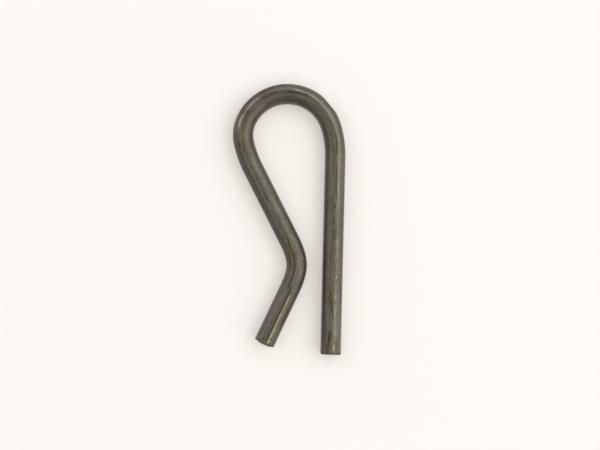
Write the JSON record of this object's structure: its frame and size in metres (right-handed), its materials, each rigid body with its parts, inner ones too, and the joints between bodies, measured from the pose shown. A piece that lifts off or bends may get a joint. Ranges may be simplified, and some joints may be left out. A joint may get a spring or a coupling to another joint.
{
  "type": "hairpin cotter pin",
  "caption": "Hairpin cotter pin bent from round spring wire: a straight leg, a wide round eye, and a bent leg with a knee that snaps round a shaft.",
  "frame": {"origin": "on the straight leg's axis, where the leg ends and the eye begins, at mid-thickness", "axes": "-Y along the straight leg to its tip, +Y towards the eye, -X towards the bent leg, +Z square to the plane of the bends"},
  "size_m": [0.0175, 0.0415, 0.0032],
  "materials": {
    "spring_steel": "dark olive-brown phosphate or black oxide on drawn wire, satin, worn lighter along the tops of the bends"
  },
  "bodies": {
    "root": {"spring_wire": "spring_steel"}
  },
  "joints": []
}
